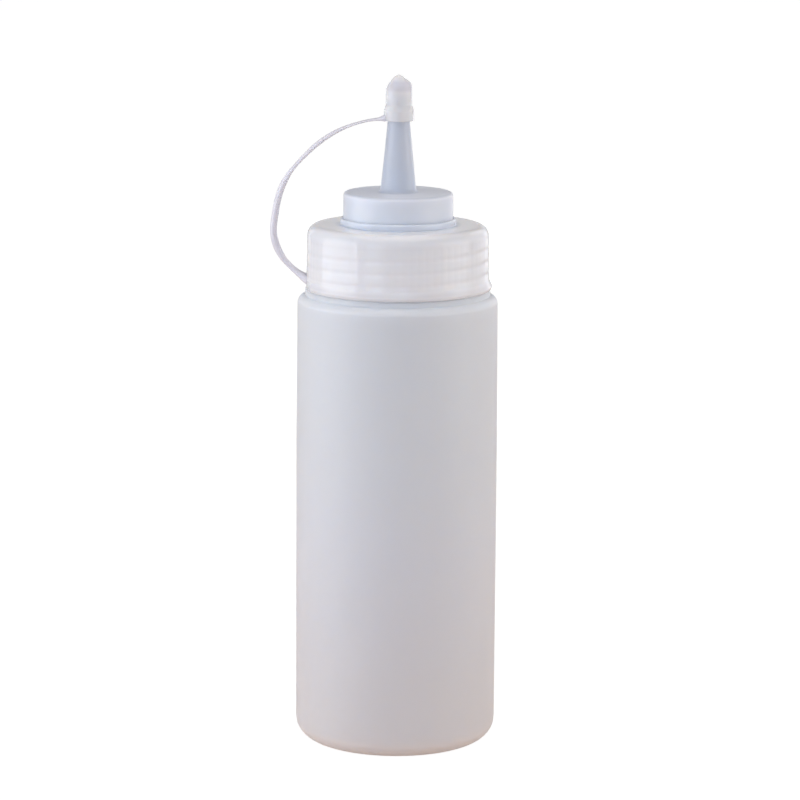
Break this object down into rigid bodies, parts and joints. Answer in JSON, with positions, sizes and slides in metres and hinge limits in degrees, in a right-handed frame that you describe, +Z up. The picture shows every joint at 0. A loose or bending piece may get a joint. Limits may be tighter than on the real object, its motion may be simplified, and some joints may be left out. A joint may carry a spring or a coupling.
{
  "type": "squeeze bottle",
  "caption": "Translucent squeeze bottle for sauce: round body, screw cap with grip flutes, stepped nozzle insert, tip cap on a bending strap.",
  "frame": {"origin": "centre of the base on the bottle's axis", "axes": "+Z up along the bottle's axis, strap on the -X side, +Y to the back"},
  "size_m": [0.0679, 0.06, 0.2002],
  "materials": {
    "ldpe_body": "satin",
    "ldpe_spout": "satin",
    "ldpe_cap": "satin",
    "ldpe_tip": "gloss",
    "ldpe_strap": "satin"
  },
  "bodies": {
    "bottle": {"bottle": "ldpe_body"},
    "spout": {"spout": "ldpe_spout"},
    "screw_cap": {"screw_cap": "ldpe_cap"},
    "strap_1": {"strap_1": "ldpe_strap"},
    "strap_2": {"strap_2": "ldpe_strap"},
    "strap_3": {"strap_3": "ldpe_strap"},
    "strap_4": {"strap_4": "ldpe_strap"},
    "strap_5": {"strap_5": "ldpe_strap"},
    "tip_cap": {"tip_cap": "ldpe_tip"}
  },
  "joints": [
    {"name": "cap_rise", "type": "slide", "parent": "bottle", "child": "spout", "axis": [0, 0, 1], "range_m": [0, 0.01202]},
    {"name": "cap_turn", "type": "hinge", "parent": "spout", "child": "screw_cap", "pos_m": [0, 0, 0.1463], "axis": [0, 0, 1], "range_deg": [0, 1170.5]},
    {"name": "strap_bend_1", "type": "hinge", "parent": "screw_cap", "child": "strap_1", "pos_m": [-0.0301, 0, 0.14165], "axis": [0, -1, 0], "range_deg": [-24.97, 0]},
    {"name": "strap_bend_2", "type": "hinge", "parent": "strap_1", "child": "strap_2", "pos_m": [-0.03545, 0, 0.14805], "axis": [0, -1, 0], "range_deg": [-15.37, 0]},
    {"name": "strap_bend_3", "type": "hinge", "parent": "strap_2", "child": "strap_3", "pos_m": [-0.03645, 0, 0.15827], "axis": [0, -1, 0], "range_deg": [0, 11.53]},
    {"name": "strap_bend_4", "type": "hinge", "parent": "strap_3", "child": "strap_4", "pos_m": [-0.0334, 0, 0.1688], "axis": [0, -1, 0], "range_deg": [0, 37.93]},
    {"name": "strap_bend_5", "type": "hinge", "parent": "strap_4", "child": "strap_5", "pos_m": [-0.0266, 0, 0.17715], "axis": [0, -1, 0], "range_deg": [0, 48.01]},
    {"name": "tip_cap_open", "type": "hinge", "parent": "strap_5", "child": "tip_cap", "pos_m": [-0.01675, 0, 0.18407], "axis": [0, -1, 0], "range_deg": [0, 48]}
  ],
  "couplings": [
    {"joint": "cap_turn", "follows": "cap_rise", "rad_per_m": 1698.2},
    {"joint": "strap_bend_1", "follows": "tip_cap_open", "ratio": -0.52},
    {"joint": "strap_bend_2", "follows": "tip_cap_open", "ratio": -0.32},
    {"joint": "strap_bend_3", "follows": "tip_cap_open", "ratio": 0.24},
    {"joint": "strap_bend_4", "follows": "tip_cap_open", "ratio": 0.79},
    {"joint": "strap_bend_5", "follows": "tip_cap_open", "ratio": 1}
  ]
}
